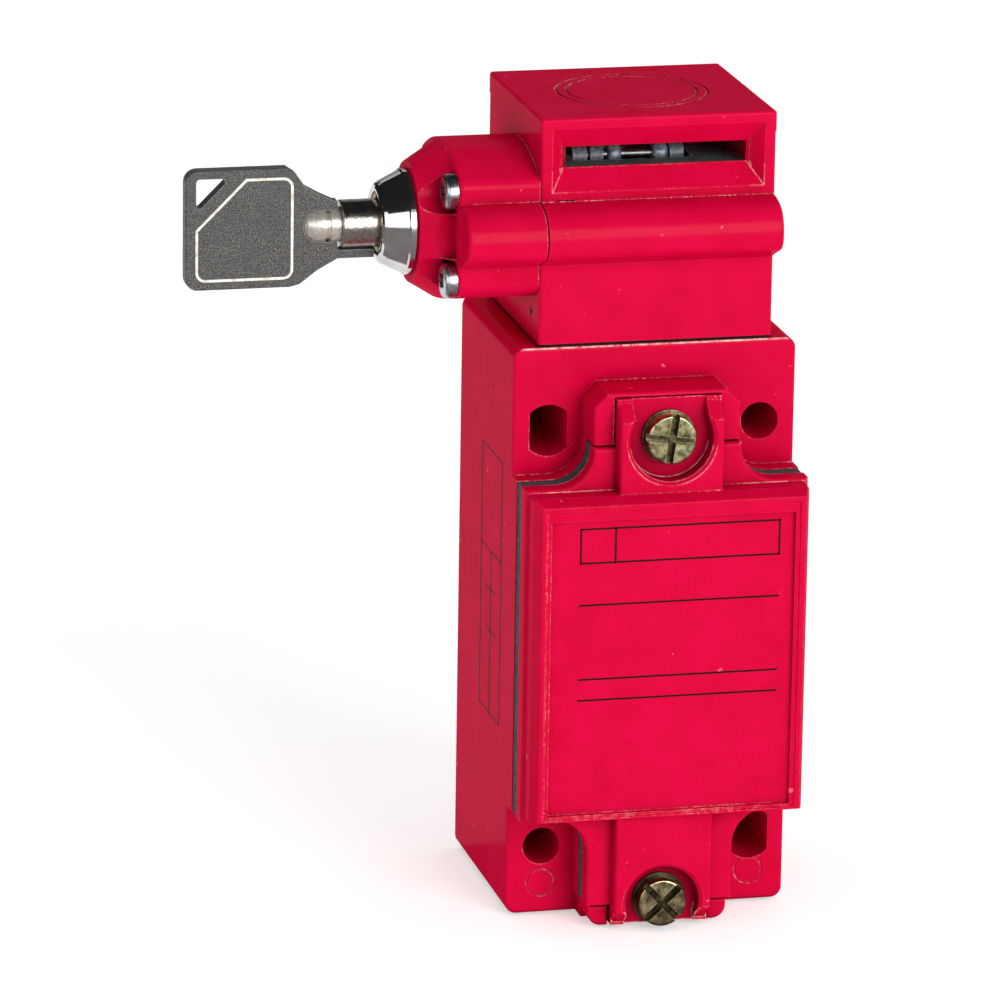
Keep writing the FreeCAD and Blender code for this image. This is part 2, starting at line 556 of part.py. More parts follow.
lh = lock_prism(LK_X0, LK_X1)
lh = fillet(lh, 0.6, lambda e: abs(e.CenterOfMass.x - LK_X0) < 0.01)
NOSE_X = -32.3
nose = Part.makeCone(8.4, 11.2, LK_X0 - NOSE_X, V(NOSE_X, LK_Y, LK_Z), V(1, 0, 0))
nose = nose.fuse(cylx(11.2, LK_X0, LK_X0 + 1.2, LK_Y, LK_Z)).common(
    fuse([lock_prism(NOSE_X - 1, LK_X1)]))
lrdg = ridge(LK_X0 + 0.1, LK_X1 - 0.22)
lrdg = fillet(lrdg, 0.45, lambda e: abs(e.CenterOfMass.x - LK_X0 - 0.1) < 0.01 and e.CenterOfMass.y < HEAD_YF - 0.5)
lh = fuse([lh, nose, lrdg])
# pockets of the four screws and the flats between them
for y, z in LS:
    lh = lh.cut(cylx(3.1, NOSE_X - 2, LK_X0, y, z))
    lh = lh.cut(cylx(1.65, NOSE_X, LK_X1 + 1, y, z))
lh = lh.cut(box(-31.6, LK_X0 + 0.1, LK_Y - 14, LK_Y - 9.4, LK_Z - 3.0, LK_Z + 3.1))
# inside: barrel bore, cam chamber, bolt channel
lh = lh.cut(cylx(6.05, NOSE_X - 1, -28, LK_Y, LK_Z))
lh = lh.cut(cylx(8.6, -28.9, LK_X1 + 1, LK_Y, LK_Z))
lh = lh.cut(box(-26.0, LK_X1 + 1, -28.0, -20, 55.0, 59.4))
lh = lh.cut(box(-19.6, LK_X1 + 1, *YK))
nodes["lock_housing"] = lh

ls = []
for y, z in LS:
    h = cylx(2.5, LK_X0 - 1.75, LK_X0, y, z)
    h = fillet(h, 0.7, lambda e: abs(e.CenterOfMass.x - LK_X0 + 1.75) < 0.01)
    h = h.fuse(cylx(1.5, LK_X0, -13.5, y, z)).removeSplitter()
    for k in range(4):
        lobe = cylx(0.42, LK_X0 - 3, LK_X0 - 0.75, y + 0.95 * math.cos(k * math.pi / 2 + 0.6), z + 0.95 * math.sin(k * math.pi / 2 + 0.6))
        h = h.cut(lobe)
    h = h.cut(cylx(0.95, LK_X0 - 3, LK_X0 - 0.75, y, z))
    ls.append(h)
nodes["lock_housing_screws"] = Part.makeCompound(ls)


def turned(profile):
    """Solid of revolution about the lock's axis, from (x, r) points."""
    w = Part.makePolygon([V(x, LK_Y, LK_Z + r) for x, r in profile] + [V(profile[0][0], LK_Y, LK_Z + profile[0][1])])
    return Part.Face(w).revolve(V(0, LK_Y, LK_Z), V(1, 0, 0), 360)


BX = NOSE_X - 0.02
nodes["lock_bezel"] = turned([(BX, 6.1), (BX, 7.25), (BX - 0.25, 7.35), (BX - 0.95, 7.33), (BX - 1.15, 7.1), (-36.2, 5.75),
                              (-36.6, 5.5), (-36.85, 5.2), (-36.95, 4.85), (-36.9, 4.45), (-36.7, 4.3), (-33.8, 4.3), (-33.8, 6.1)])
nodes["lock_barrel"] = turned([(-33.7, 4.25), (-33.7, 6.0), (-26.7, 6.0), (-26.7, 4.25)])
nut = prism([(-28.85, LK_Y + 8.05 * math.cos(math.radians(a)), LK_Z + 8.05 * math.sin(math.radians(a)))
             for a in range(0, 360, 60)], (2.1, 0, 0)).cut(cylx(6.05, -30, -20, LK_Y, LK_Z))
nodes["lock_barrel_nut"] = nut

rotor = cylx(4.12, -36.6, -26.6, LK_Y, LK_Z).fuse(cylx(3.4, -26.7, -19.6, LK_Y, LK_Z)).removeSplitter()
rotor = rotor.cut(cylx(3.45, -37, -29.6, LK_Y, LK_Z)).cut(cylx(1.3, -30, -27.5, LK_Y, LK_Z))
rotor = rotor.cut(box(-37, -34.6, LK_Y - 0.9, LK_Y + 0.9, LK_Z + 3, LK_Z + 5))
nodes["lock_rotor"] = rotor
nodes["lock_core_pin"] = turned([(-36.2, 0.0), (-36.2, 1.7), (-35.8, 2.1), (-29.65, 2.1), (-29.65, 1.25), (-27.6, 1.25), (-27.6, 0.0)])

# barrel cam: a helical groove shifts the yoke as the lock turns
CAMX = -24.1
drum = cylx(7.0, -26.3, -19.5, LK_Y, LK_Z).cut(cylx(3.45, -27, -19, LK_Y, LK_Z))
M = 30
cutters = []
for i in range(-1, M + 2):
    t = LK_TURN * i / M
    x = CAMX + BOLT_TRAVEL * min(max(i / M, 0.0), 1.0)
    c = Part.makeCylinder(1.36, 4.0, V(x, LK_Y - 4.8, LK_Z), V(0, -1, 0))
    # in the drum's own frame the follower runs backwards
    c.rotate(V(0, LK_Y, LK_Z), V(1, 0, 0), -math.degrees(t))
    cutters.append(c)
groove = cutters[0].multiFuse(cutters[1:])
drum = drum.cut(groove)
nodes["lock_cam"] = drum

yoke = box(-19.2, -17.7, -33.6, -20.6, 56.0, 59.8)
finger = box(-25.4, -18.0, -27.7, -26.1, 55.6, 58.8)
fpin = Part.makeCylinder(1.15, 2.5, V(CAMX, -26.3, LK_Z), V(0, 1, 0))
rod = cylx(ROD_R, -19.2, 10.4, ROD_Y, ROD_Z)
lpin = cylx(PIN_R, -19.2, -10.1, WH_Y - PIN_RAD, WH_Z)
lpin = fillet(lpin, 0.4, lambda e: abs(e.CenterOfMass.x + 10.1) < 0.01)
nodes["locking_bolt"] = fuse([yoke, finger, fpin, rod, lpin])

# ---------------------------------------------------------------------------
# key
# ---------------------------------------------------------------------------
ks = turned([(-41.9, 2.45), (-41.9, 3.2), (-41.75, 3.35), (-30.3, 3.35), (-30.15, 3.2), (-30.15, 2.25), (-40.5, 2.25), (-40.5, 2.45)])
nodes["key_shank"] = ks
SPINDLE = [(-47.2, 0.0), (-47.12, 0.7), (-46.9, 1.25), (-46.5, 1.75), (-45.95, 2.12), (-45.3, 2.34), (-44.7, 2.4), (-44.1, 2.4),
           (-43.95, 2.05), (-43.45, 2.05), (-43.3, 2.4), (-42.0, 2.4), (-41.85, 2.35), (-40.6, 2.35), (-40.6, 0.0)]
nodes["key_spindle"] = turned(SPINDLE)
BT = 1.1                   # half thickness of the bow
RIM_H = 0.12               # height of the raised border line


def kp(x, h):
    return (x, LK_Y - BT, LK_Z + h)


bow_pts = [(-63.5, -8.4), (-63.5, 8.4), (-49.4, 8.4), (-48.2, 7.6), (-46.8, 5.6), (-44.7, 4.4), (-42.7, 3.45),
           (-42.3, 3.45), (-42.3, -3.4), (-37.2, -3.45), (-37.2, -4.6), (-42.3, -4.6), (-45.2, -6.2), (-47.7, -8.1), (-49.0, -8.4)]
bow = prism([kp(*p) for p in bow_pts], (0, 2 * BT, 0))
bow = fillet(bow, 1.8, lambda e: along(e, "y") and e.CenterOfMass.x < -63)
bow = fillet(bow, 0.3, lambda e: abs(abs(e.CenterOfMass.y - LK_Y) - BT) < 0.01 and e.CenterOfMass.x < -48)
# hanging hole
hang = prism([(-62.0, LK_Y - 3, LK_Z + 7.2), (-57.3, LK_Y - 3, LK_Z + 7.2), (-62.0, LK_Y - 3, LK_Z + 2.5)], (0, 6, 0))
bow = bow.cut(fillet(hang, 0.45, lambda e: along(e, "y")))
# round-cornered raised border line on both faces
def border(d):
    """The border's outline moved inwards by d, as a prism through the bow."""
    k = 0.41421
    pts = [(-62.1 + d, -7.2 + d), (-62.1 + d, 0.1 - k * d), (-55.1 + k * d, 7.1 - d), (-48.5 - d, 7.1 - d), (-48.5 - d, -7.2 + d)]
    p = prism([(x, -30, LK_Z + h) for x, h in pts], (0, 25, 0))
    return fillet(p, 1.4 - d, lambda e: along(e, "y") and (abs(e.CenterOfMass.x + 48.5 + d) < 0.01 or e.CenterOfMass.z < LK_Z - 5))


rim = border(0.0).cut(border(0.34))
bow = bow.fuse(rim.common(box(-70, -40, LK_Y - BT - RIM_H, LK_Y + BT + RIM_H, 40, 75))).removeSplitter()


# pockets for the spindle and the tube in the bow's neck
NOSE = SPINDLE[:7]
bow = bow.cut(turned([(NOSE[0][0] - 0.06, 0.0)] + [(x - 0.06, r + 0.06) for x, r in NOSE] + [(-41.0, 2.46), (-41.0, 0.0)]))
bow = bow.cut(cylx(3.42, -41.95, -30.0, LK_Y, LK_Z))
nodes["key_bow"] = bow

# ---------------------------------------------------------------------------
# plunger, seal, springs, contact block
# ---------------------------------------------------------------------------
PT = WH_Z - CAM_R0 - CAM_GAP - PL_R     # centre of the plunger's round tip
pl = cylz(PL_R, 9.0, PT, 0, PL_Y).fuse(Part.makeSphere(PL_R, V(0, PL_Y, PT))).removeSplitter()
nodes["plunger"] = pl
nodes["plunger_seal"] = cylz(4.22, 38.65, 41.6, 0, PL_Y).cut(cylz(2.58, 38, 42, 0, PL_Y)).cut(
    cylz(3.3, 40.2, 42, 0, PL_Y))

car = box(-13.8, 13.8, -18.0, -14.0, -6.0, 9.0)
for x in POLES:
    car = car.cut(box(x - 2.3, x + 2.3, -19, -13, -3.0, 6.0))
car = fillet(car, 0.6, lambda e: along(e, "y") and abs(e.CenterOfMass.x) > 13)
nodes["contact_carrier"] = car
bars, bsp = [], []
for x in POLES:
    no = x < -5
    z0 = -2.95 if no else 4.95
    b = box(x - 1.75, x + 1.75, -20.6, -11.4, z0, z0 + 1.0)
    bars.append(b)
    if no:
        bsp.append(coil(1.35, 0.22, z0 + 1.05, 5.95, 1.2, x, -16.0))
    else:
        bsp.append(coil(1.35, 0.22, -2.95, z0 - 0.05, 1.2, x, -16.0))
nodes["contact_bridges"] = Part.makeCompound(bars)
nodes["bridge_springs"] = Part.makeCompound(bsp)
nodes["plunger_springs"] = Part.makeCompound([coil(1.6, 0.25, -12.95, -6.05, 1.15, s * 5.25, -16.0) for s in (-1, 1)])

strips = []
T = 0.8
for x in POLES:
    a, b = x - 1.75, x + 1.75
    if x > -5:      # opens when the tongue leaves: fixed tips above the bridge
        zt = 9.05
        f = fuse([box(a, b, -20.9, -18.8, zt, zt + T), box(a, b, -20.9, -20.1, zt, TOWER_Z0),
                  box(a, b, TOWER_Y - T, -20.1, TOWER_Z0 - T, TOWER_Z0),
                  box(a, b, TOWER_Y - T, TOWER_Y, TOWER_Z0 - T, 21.4)])
        r = fuse([box(a, b, -13.2, -10.1, zt, zt + T), box(a, b, -10.9, -10.1, -TOWER_Z0, zt + T),
                  box(a, b, TOWER_Y - T, -10.1, -TOWER_Z0, -TOWER_Z0 + T),
                  box(a, b, TOWER_Y - T, TOWER_Y, -21.4, -TOWER_Z0 + T)])
    else:           # closes when the tongue leaves: fixed tips below the bridge
        zt = -3.05
        f = fuse([box(a, b, -20.9, -18.4, zt - T, zt), box(a, b, -20.9, -20.1, -TOWER_Z0, zt),
                  box(a, b, TOWER_Y - T, -20.1, -TOWER_Z0, -TOWER_Z0 + T),
                  box(a, b, TOWER_Y - T, TOWER_Y, -21.4, -TOWER_Z0 + T)])
        r = fuse([box(a, b, -13.6, -10.1, zt - T, zt), box(a, b, -10.9, -10.1, zt - T, TOWER_Z0),
                  box(a, b, TOWER_Y - T, -10.1, TOWER_Z0 - T, TOWER_Z0),
                  box(a, b, TOWER_Y - T, TOWER_Y, TOWER_Z0 - T, 21.4)])
    for s, zc in ((f, 17.4 if x > -5 else -17.4), (r, -17.4 if x > -5 else 17.4)):
        strips.append(s.cut(cyly(1.7, TOWER_Y - 3, TOWER_Y + 2, x, zc)))
nodes["fixed_contacts"] = Part.makeCompound(strips)

base = box(-16.0, 16.0, -21.0, -WALL, -TOWER_Z1, TOWER_Z1)
for s in (-1, 1):
    za, zb = sorted((s * TOWER_Z0, s * TOWER_Z1))
    base = base.fuse(box(-16.0, 16.0, TOWER_Y, -20.9, za, zb))
base = base.removeSplitter()
base = fillet(base, 1.2, lambda e: along(e, "y") and abs(e.CenterOfMass.x) > 15.9 and abs(e.CenterOfMass.z) > 21.9)
base = base.cut(box(-14.4, 14.4, -30, -9.8, -TOWER_Z0, TOWER_Z0))
base = base.cut(cylz(2.75, 10, 25, 0, PL_Y))
for x in POLES:
    for s in (-1, 1):
        base = base.cut(cyly(1.55, TOWER_Y - 1, TOWER_Y + 7.5, x, s * 17.4))
for x in (-5.25, 5.25):
    for s in (-1, 1):
        # barriers between the terminals
        base = base.fuse(box(x - 0.6, x + 0.6, TOWER_Y - 3.6, TOWER_Y + 0.5, min(s * 13.0, s * 22.0), max(s * 13.0, s * 22.0)))
base = base.removeSplitter()
for x, z in BLK:
    base = base.cut(cyly(1.45, -40, 0, x, z)).cut(cyly(2.35, -40, TOWER_Y + 1.6, x, z))
nodes["contact_block_base"] = base
cbc = box(-15.9, 15.9, -22.5, -21.02, -12.1, 12.1)
cbc = cbc.cut(box(-16.5, 16.5, -23, -21.8, -0.5, 0.5))
nodes["contact_block_cover"] = cbc
nodes["contact_block_screws"] = Part.makeCompound([
    pan_screw_y(x, z, TOWER_Y + 1.6, 2.2, 1.5, 1.28, 25.0 - 1.6 - 0.9, [(20, 0.7, 0.7), (110, 0.7, 0.7)]) for x, z in BLK])
nodes["terminal_screws"] = Part.makeCompound([
    pan_screw_y(x, s * 17.4, TOWER_Y - T - 1.2, 2.75, 1.9, 1.45, 7.6, [(35 + 20 * x, 0.8, 0.9)])
    for x in POLES for s in (-1, 1)])
clamps = []
for x in POLES:
    for s in (-1, 1):
        c = box(x - 3.1, x + 3.1, TOWER_Y - T - 1.15, TOWER_Y - T - 0.05, s * 17.4 - 3.1, s * 17.4 + 3.1)
        clamps.append(c.cut(cyly(1.6, -40, 0, x, s * 17.4)))
nodes["terminal_clamps"] = Part.makeCompound(clamps)
ex, ez = EARTH
nodes["earth_screw"] = pan_screw_y(ex, ez, -WALL - 0.9, 2.7, 1.9, 1.7, 3.0, [(30, 0.8, 0.9)])
nodes["earth_washer"] = cyly(3.2, -WALL - 0.85, -WALL, ex, ez).cut(cyly(1.75, -10, 0, ex, ez))

# ---------------------------------------------------------------------------
os.makedirs("parts", exist_ok=True)
for name, shape in nodes.items():
    shape.exportStep("parts/%s.step" % name)
    good = shape.isValid() and all(s.isClosed() for s in shape.Shells)
    bb = shape.BoundBox
    print("%-22s solids %2d vol %9.1f ok %s  X %.1f..%.1f Y %.1f..%.1f Z %.1f..%.1f" % (
        name, len(shape.Solids), shape.Volume, good, bb.XMin, bb.XMax, bb.YMin, bb.YMax, bb.ZMin, bb.ZMax))
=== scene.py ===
import bpy
import math
from mathutils import Vector, Matrix


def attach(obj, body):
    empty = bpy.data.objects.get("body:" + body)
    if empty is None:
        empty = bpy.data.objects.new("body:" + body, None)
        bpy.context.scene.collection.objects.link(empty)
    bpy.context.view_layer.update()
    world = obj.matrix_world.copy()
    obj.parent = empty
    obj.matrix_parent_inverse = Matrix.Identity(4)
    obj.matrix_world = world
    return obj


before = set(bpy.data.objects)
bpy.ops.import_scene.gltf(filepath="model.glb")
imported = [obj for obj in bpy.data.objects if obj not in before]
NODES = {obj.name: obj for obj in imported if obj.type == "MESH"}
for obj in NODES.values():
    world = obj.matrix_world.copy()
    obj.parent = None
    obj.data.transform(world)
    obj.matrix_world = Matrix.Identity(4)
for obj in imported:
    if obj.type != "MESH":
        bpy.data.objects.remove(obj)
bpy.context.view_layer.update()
scene = bpy.context.scene
MM = 0.001


# ---------------------------------------------------------------------------
# node material helpers
# ---------------------------------------------------------------------------
class Mat:
    def __init__(self, name):
        self.m = bpy.data.materials.new(name)
        self.m.use_nodes = True
        self.t = self.m.node_tree
        self.t.nodes.clear()
        self.out = self.n("ShaderNodeOutputMaterial")
        self.bsdf = self.n("ShaderNodeBsdfPrincipled")
        self.link(self.bsdf.outputs[0], self.out.inputs[0])
        self.tc = self.n("ShaderNodeTexCoord")
        self.geo = self.n("ShaderNodeNewGeometry")

    def n(self, kind, **kw):
        x = self.t.nodes.new(kind)
        for k, v in kw.items():
            setattr(x, k, v)
        return x

    def link(self, a, b):
        self.t.links.new(a, b)

    def set(self, **kw):
        for k, v in kw.items():
            self.bsdf.inputs[k.replace("_", " ")].default_value = v

    def noise(self, scale, detail=4.0, rough=0.55, vec=None):
        x = self.n("ShaderNodeTexNoise")
        x.inputs["Scale"].default_value = scale
        x.inputs["Detail"].default_value = detail
        x.inputs["Roughness"].default_value = rough
        self.link(vec if vec is not None else self.tc.outputs["Object"], x.inputs["Vector"])
        return x.outputs["Fac"]

    def ramp(self, fac, stops):
        x = self.n("ShaderNodeValToRGB")
        cr = x.color_ramp
        while len(cr.elements) < len(stops):
            cr.elements.new(0.5)
        for e, (p, c) in zip(cr.elements, stops):
            e.position = p
            e.color = (*c, 1.0) if len(c) == 3 else c
        self.link(fac, x.inputs[0])
        return x.outputs[0]

    def math(self, op, a, b=None, clamp=False):
        x = self.n("ShaderNodeMath", operation=op)
        x.use_clamp = clamp
        for i, v in enumerate((a, b)):
            if v is None:
                continue
            if isinstance(v, (int, float)):
                x.inputs[i].default_value = v
            else:
                self.link(v, x.inputs[i])
        return x.outputs[0]

    def mix(self, fac, a, b):
        x = self.n("ShaderNodeMix", data_type="RGBA")
        for s, v in ((x.inputs[0], fac), (x.inputs[6], a), (x.inputs[7], b)):
            if isinstance(v, (int, float)):
                s.default_value = v
            elif isinstance(v, tuple):
                s.default_value = (*v, 1.0)
            else:
                self.link(v, s)
        return x.outputs[2]

    def bump(self, height, strength=0.2, dist=0.0001):
        x = self.n("ShaderNodeBump")
        x.inputs["Strength"].default_value = strength
        x.inputs["Distance"].default_value = dist
        self.link(height, x.inputs["Height"])
        self.link(x.outputs[0], self.bsdf.inputs["Normal"])
        return x


def srgb(r, g, b):
    def f(c):
        c /= 255.0
        return c / 12.92 if c <= 0.04045 else ((c + 0.055) / 1.055) ** 2.4
    return (f(r), f(g), f(b))


def edges(m, radius=0.00035, lo=0.03, hi=0.22):
    """White close to a piece's edges, where a rounded normal leaves the flat one."""
    bv = m.n("ShaderNodeBevel")
    bv.samples = 4
    bv.inputs["Radius"].default_value = radius
    dot = m.n("ShaderNodeVectorMath", operation="DOT_PRODUCT")
    m.link(bv.outputs[0], dot.inputs[0])
    m.link(m.geo.outputs["True Normal"], dot.inputs[1])
    x = m.n("ShaderNodeMapRange")
    x.interpolation_type = "SMOOTHSTEP"
    x.inputs[1].default_value = 1.0 - lo
    x.inputs[2].default_value = 1.0 - hi
    m.link(dot.outputs["Value"], x.inputs[0])
    m.round_normal = bv.outputs[0]
    return x.outputs[0]


def facing(m, direction, lo=0.3, hi=0.9):
    """White where the rounded normal leans a given way in the part's frame."""
    d = Vector(direction).normalized()
    dot = m.n("ShaderNodeVectorMath", operation="DOT_PRODUCT")
    m.link(m.round_normal, dot.inputs[0])
    dot.inputs[1].default_value = d
    x = m.n("ShaderNodeMapRange")
    x.interpolation_type = "SMOOTHSTEP"
    x.inputs[1].default_value = lo
    x.inputs[2].default_value = hi
    m.link(dot.outputs["Value"], x.inputs[0])
    return x.outputs[0]


def darken(m, col, distance, stops):
    """Multiply a colour by the shade of its corners."""
    occ = m.ramp(occlusion_shade(m, distance), stops)
    mul = m.n("ShaderNodeMix", data_type="RGBA", blend_type="MULTIPLY")
    mul.inputs[0].default_value = 1.0
    m.link(col, mul.inputs[6])
    m.link(occ, mul.inputs[7])
    return mul.outputs[2]


def occlusion_shade(m, distance=0.004):
    """Painted shade: dark in corners and gaps."""
    ao = m.n("ShaderNodeAmbientOcclusion")
    ao.samples = 4
    ao.inputs["Distance"].default_value = distance
    return ao.outputs["AO"]


def inside(m, boxes):
    """White inside any of some boxes, given as (lowest, highest) corners in millimetres in the part's frame."""
    sep = m.n("ShaderNodeSeparateXYZ")
    m.link(m.tc.outputs["Object"], sep.inputs[0])
    total = None
    for lo, hi in boxes:
        f = None
        for i in range(3):
            for op, v in (("GREATER_THAN", lo[i]), ("LESS_THAN", hi[i])):
                if v is None:
                    continue
                t = m.math(op, sep.outputs[i], v * MM)
                f = t if f is None else m.math("MULTIPLY", f, t)
        total = f if total is None else m.math("MAXIMUM", total, f)
    return total


def paint(name, seed=0.0, bright=None, rounded=False):
    """Satin red enamel on a die casting: fine grain and dust specks, with painted shade in corners and painted
    highlights along edges.
    """
    m = Mat(name)
    base = srgb(201, 6, 56)
    deep = srgb(193, 5, 50)
    lite = srgb(209, 12, 64)
    n1 = m.noise(170.0 + seed, 4.0, 0.6)
    col = m.mix(m.ramp(n1, [(0.38, (0, 0, 0)), (0.62, (1, 1, 1))]), deep, base)
    n2 = m.noise(3400.0, 2.0, 0.5)
    col = m.mix(m.ramp(n2, [(0.50, (0, 0, 0)), (0.75, (0.5, 0.5, 0.5))]), col, lite)
    # painted shade: the enamel is darkened in corners, holes and gaps from ambient occlusion
    col = darken(m, col, 0.0035, [(0.12, (0.22,) * 3), (0.45, (0.72,) * 3), (0.8, (1, 1, 1))])
    # painted highlight: all edges are painted a lighter red, in broken dots
    e = edges(m, 0.00032, 0.02, 0.16)
    n3 = m.noise(1100.0, 4.0, 0.7)
    edge_highlight = m.math("MULTIPLY", m.ramp(n3, [(0.42, (0.05,) * 3), (0.66, (0.5,) * 3)]), e, True)
    col = m.mix(edge_highlight, col, srgb(232, 52, 86))
    # painted highlight: edges turned towards the key light are painted near white, in broken lines
    lit = m.math("MULTIPLY", facing(m, (0.45, -0.55, 0.72), 0.38, 0.88), e, True)
    n4 = m.noise(1500.0, 3.0, 0.8)
    n6 = m.noise(110.0 + seed, 2.0, 0.5)
    broken = m.math("MULTIPLY", m.ramp(n4, [(0.46, (0.03,) * 3), (0.62, (0.95,) * 3)]), m.ramp(n6, [(0.40, (0.25,) * 3), (0.62, (1.0,) * 3)]))
    shine = m.math("MULTIPLY", broken, lit, True)
    col = m.mix(shine, col, srgb(255, 196, 192))
    if bright:
        # painted highlight: edges inside the given boxes, and with rounded also the fillets facing up and forward, are
        # painted near white where the light catches them
        f = e
        if rounded:
            lean = m.n("ShaderNodeVectorMath", operation="DOT_PRODUCT")
            m.link(m.geo.outputs["True Normal"], lean.inputs[0])
            lean.inputs[1].default_value = (0.0, -0.66, 0.75)
            f = m.math("MAXIMUM", e, m.ramp(lean.outputs["Value"], [(0.93, (0, 0, 0)), (0.985, (1, 1, 1))]))
        spot = m.math("MULTIPLY", f, inside(m, bright))
        boxed_highlight = m.math("MULTIPLY", spot, m.ramp(m.noise(900.0, 4.0, 0.8), [(0.38, (0.10,) * 3), (0.58, (0.95,) * 3)]), True)
        col = m.mix(boxed_highlight, col, srgb(255, 214, 208))
    n5 = m.noise(620.0 + seed, 2.0, 0.5)
    speck = m.ramp(n5, [(0.745, (0, 0, 0)), (0.765, (0.6,) * 3)])
    col = m.mix(speck, col, srgb(248, 110, 120))
    m.link(col, m.bsdf.inputs["Base Color"])
    rough = m.ramp(m.noise(260.0, 4.0, 0.6), [(0.3, (0.36,) * 3), (0.7, (0.46,) * 3)])
    m.link(rough, m.bsdf.inputs["Roughness"])
    m.set(Coat_Weight=0.07, Coat_Roughness=0.18, Specular_IOR_Level=0.0)
    h = m.math("ADD", m.math("MULTIPLY", m.noise(700.0, 3.0, 0.5), 0.6), m.math("MULTIPLY", m.noise(3200.0, 2.0, 0.5), 0.4))
    m.bump(h, 0.10, 0.00008)
    return m.m


def metal(name, col, col2, rough=0.3, rough2=0.45, scale=700.0, bump=0.08, metallic=1.0, brushed=None, edge=None, shade_reach=None, deep=0.25):
    m = Mat(name)
    vec = None
    if brushed:
        mp = m.n("ShaderNodeMapping")
        mp.inputs["Scale"].default_value = brushed
        m.link(m.tc.outputs["Object"], mp.inputs["Vector"])
        vec = mp.outputs[0]
    n = m.noise(scale, 5.0, 0.65, vec)
    c = m.mix(m.ramp(n, [(0.35, (0, 0, 0)), (0.68, (1, 1, 1))]), col, col2)
    if edge:
        # painted highlight: edges are painted bright
        c = m.mix(m.math("MULTIPLY", edges(m, 0.0002), 0.8), c, edge)
    if shade_reach:
        # painted shade: darker in corners and slots from ambient occlusion
        c = darken(m, c, shade_reach, [(deep, (0.10, 0.08, 0.06)), (deep + 0.3, (0.55,) * 3), (0.9, (1, 1, 1))])
    m.link(c, m.bsdf.inputs["Base Color"])
    m.link(m.ramp(n, [(0.3, (rough,) * 3), (0.75, (rough2,) * 3)]), m.bsdf.inputs["Roughness"])
    m.set(Metallic=metallic)
    m.bump(m.noise(scale * 1.7, 4.0, 0.6, vec), bump, 0.0001)
    return m.m


def dull(name, col, col2, rough=0.55, scale=500.0, bump=0.15, spec=0.4, edge=None, metallic=0.0, radius=0.0002, strong=0.7):
    m = Mat(name)
    n = m.noise(scale, 5.0, 0.6)
    c = m.mix(m.ramp(n, [(0.38, (0, 0, 0)), (0.64, (1, 1, 1))]), col, col2)
    if edge:
        # painted highlight: edges are painted bright
        c = m.mix(m.math("MULTIPLY", edges(m, radius), strong), c, edge)
    m.link(c, m.bsdf.inputs["Base Color"])
    m.link(m.ramp(n, [(0.3, (rough - 0.08,) * 3), (0.75, (rough + 0.1,) * 3)]), m.bsdf.inputs["Roughness"])
    m.set(Specular_IOR_Level=spec, Metallic=metallic)
    m.bump(m.noise(scale * 2.0, 4.0, 0.6), bump, 0.0001)
    return m.m


def bow_steel(name):
    """Dark sintered steel with a coarse sparkle; the raised border line is rubbed bright."""
    m = Mat(name)
    n = m.noise(5600.0, 3.0, 0.7)
    c = m.mix(m.ramp(n, [(0.42, (0, 0, 0)), (0.70, (1, 1, 1))]), srgb(17, 17, 19), srgb(136, 133, 128))
    n2 = m.noise(300.0, 3.0, 0.6)
    c = m.mix(m.ramp(n2, [(0.35, (0, 0, 0)), (0.7, (0.45,) * 3)]), c, srgb(60, 60, 62))
    # painted highlight: the bow's edges are painted pale
    c = m.mix(m.math("MULTIPLY", edges(m, 0.0002), 0.4), c, srgb(210, 210, 204))
    rim = m.math("MAXIMUM", inside(m, [((-62.3, -21.0, 49.8), (-48.3, -18.7 - 1.15, 64.5))]), inside(m, [((-62.3, -18.7 + 1.15, 49.8), (-48.3, -16.0, 64.5))]))
    n3 = m.noise(900.0, 3.0, 0.6)
    c = m.mix(rim, c, m.ramp(n3, [(0.35, srgb(206, 202, 184)), (0.6, srgb(255, 254, 246))]))
    m.link(c, m.bsdf.inputs["Base Color"])
    m.link(m.ramp(n, [(0.3, (0.55,) * 3), (0.7, (0.4,) * 3)]), m.bsdf.inputs["Roughness"])
    m.link(m.math("MULTIPLY", rim, 0.3), m.bsdf.inputs["Metallic"])
    m.set(Specular_IOR_Level=0.5)
    m.bump(n, 0.5, 0.0001)
    return m.m


# the boxes mark where edges and fillets get painted highlights
RED = paint("red_enamel", 0.0, [((-20.5, -33.2, 39.6), (20.5, -30.0, 42.6))], True)
RED_D = paint("red_enamel_cover", 7.0, [
    ((-6.3, None, 24.4), (6.3, None, 29.6)), ((-17.0, None, 22.5), (-10.6, None, 31.0)), ((10.6, None, 22.5), (17.0, None, 31.0)),
    ((5.9, None, -40.0), (7.4, None, -23.9)), ((19.0, None, -24.5), (21.0, None, 24.5)), ((-8.5, None, -41.0), (8.5, None, -37.0))])
RED_B = paint("red_enamel_head", 17.0, [
    ((-15.0, -31.4, 63.2), (-12.8, -28.0, 66.35)), ((12.8, -31.4, 63.2), (15.0, -28.0, 66.35))])
RED_C = paint("red_enamel_lock", 31.0)
GASKET = dull("gasket_rubber", srgb(30, 40, 46), srgb(88, 104, 112), 0.75, 3000.0, 0.3, 0.15)
GASKET2 = dull("head_gasket_rubber", srgb(10, 10, 12), srgb(30, 26, 28), 0.8, 1800.0, 0.3, 0.1)
SEAL = dull("seal_rubber", srgb(20, 20, 20), srgb(34, 34, 34), 0.6, 900.0)
ZINC_Y = metal("yellow_zinc", srgb(112, 110, 72), srgb(218, 210, 160), 0.2, 0.40, 1000.0, 0.18, edge=srgb(255, 250, 214), shade_reach=0.0030, deep=0.42)
ZINC = metal("bright_zinc", srgb(166, 172, 180), srgb(212, 218, 224), 0.2, 0.34, 1500.0, 0.12, edge=srgb(235, 240, 245), shade_reach=0.0008)
